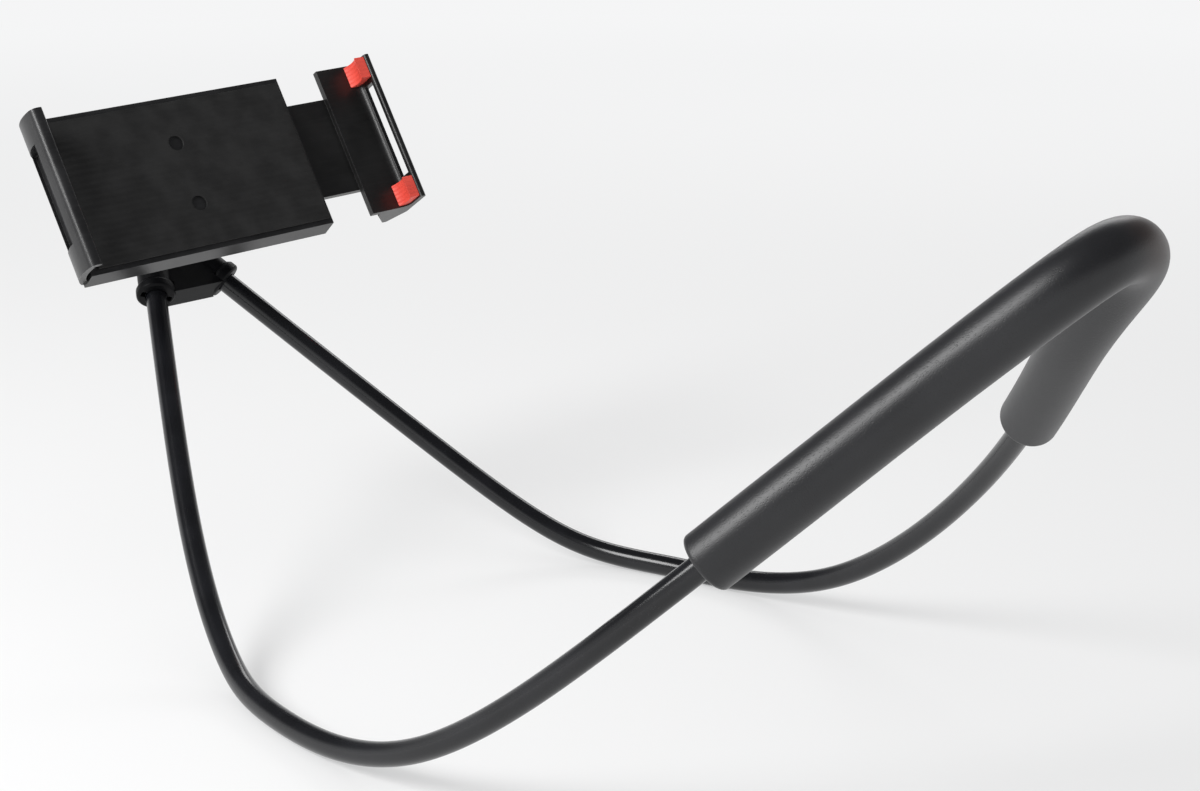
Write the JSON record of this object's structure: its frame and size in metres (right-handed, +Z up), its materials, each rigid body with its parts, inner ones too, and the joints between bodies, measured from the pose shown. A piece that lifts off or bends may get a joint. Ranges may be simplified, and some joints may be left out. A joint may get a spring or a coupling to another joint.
{
  "type": "neck phone holder",
  "caption": "Bendable neck loop with a foam sleeve; its hub carries a ball joint and a sliding clamp that holds a phone crosswise in front of the wearer.",
  "frame": {"origin": "on the table, in the loop's mirror plane, below the middle of the whole holder", "axes": "+X across the loop towards the sliding jaw, +Y from the foam at the neck towards the hub and the clamp, +Z up"},
  "size_m": [0.2168, 0.4598, 0.1924],
  "materials": {
    "sheath_black": "satin black plastic sheath",
    "rod_steel": "soft annealed steel rod",
    "stud_aluminium": "turned aluminium",
    "foam_grey": "matt dark grey foam with a fine closed skin",
    "steel": "zinc-plated steel",
    "hub_black": "black moulded plastic, fine grain",
    "clamp_grey": "charcoal moulded plastic, satin",
    "jaw_black": "black moulded plastic, satin",
    "cover_black": "black moulded plastic, fine grain",
    "pad_black": "thin black rubber",
    "pad_red": "soft red rubber"
  },
  "bodies": {
    "neck_loop": {"gooseneck_sheath": "sheath_black", "gooseneck_core": "rod_steel", "neck_foam": "foam_grey", "rod_ferrule_left": "steel", "rod_ferrule_right": "steel", "hub_front": "hub_black", "hub_rear": "hub_black", "hub_screws": "steel", "collar_left": "hub_black", "collar_right": "hub_black"},
    "stud": {"ball_stud": "stud_aluminium", "stud_washer": "steel", "spring_washer": "steel", "stud_nut": "steel"},
    "ring": {"lock_nut": "hub_black"},
    "clamp": {"rear_cover": "cover_black", "cover_screws": "steel", "clamp_base": "clamp_grey", "rest_pad": "pad_black", "brake_leaf": "steel", "leaf_screw": "steel"},
    "jaw": {"sliding_jaw": "jaw_black", "grip_pad_upper": "pad_red", "grip_pad_lower": "pad_red"}
  },
  "joints": [
    {"name": "ball_pan", "type": "hinge", "parent": "neck_loop", "child": "stud", "pos_m": [0, 0.19597, 0.14506], "axis": [0, -0.6691, 0.7431], "continuous": true},
    {"name": "ball_tilt", "type": "hinge", "parent": "stud", "child": "ring", "pos_m": [0, 0.19597, 0.14506], "axis": [0.9114, -0.3058, -0.2754], "range_deg": [-39.3, 4.7]},
    {"name": "clamp_spin", "type": "hinge", "parent": "ring", "child": "clamp", "pos_m": [0, 0.19597, 0.14506], "axis": [-0.1224, -0.8403, 0.5282], "continuous": true},
    {"name": "jaw_slide", "type": "slide", "parent": "clamp", "child": "jaw", "axis": [0.9924, -0.1121, 0.0515], "range_m": [-0.018, 0.03]}
  ]
}
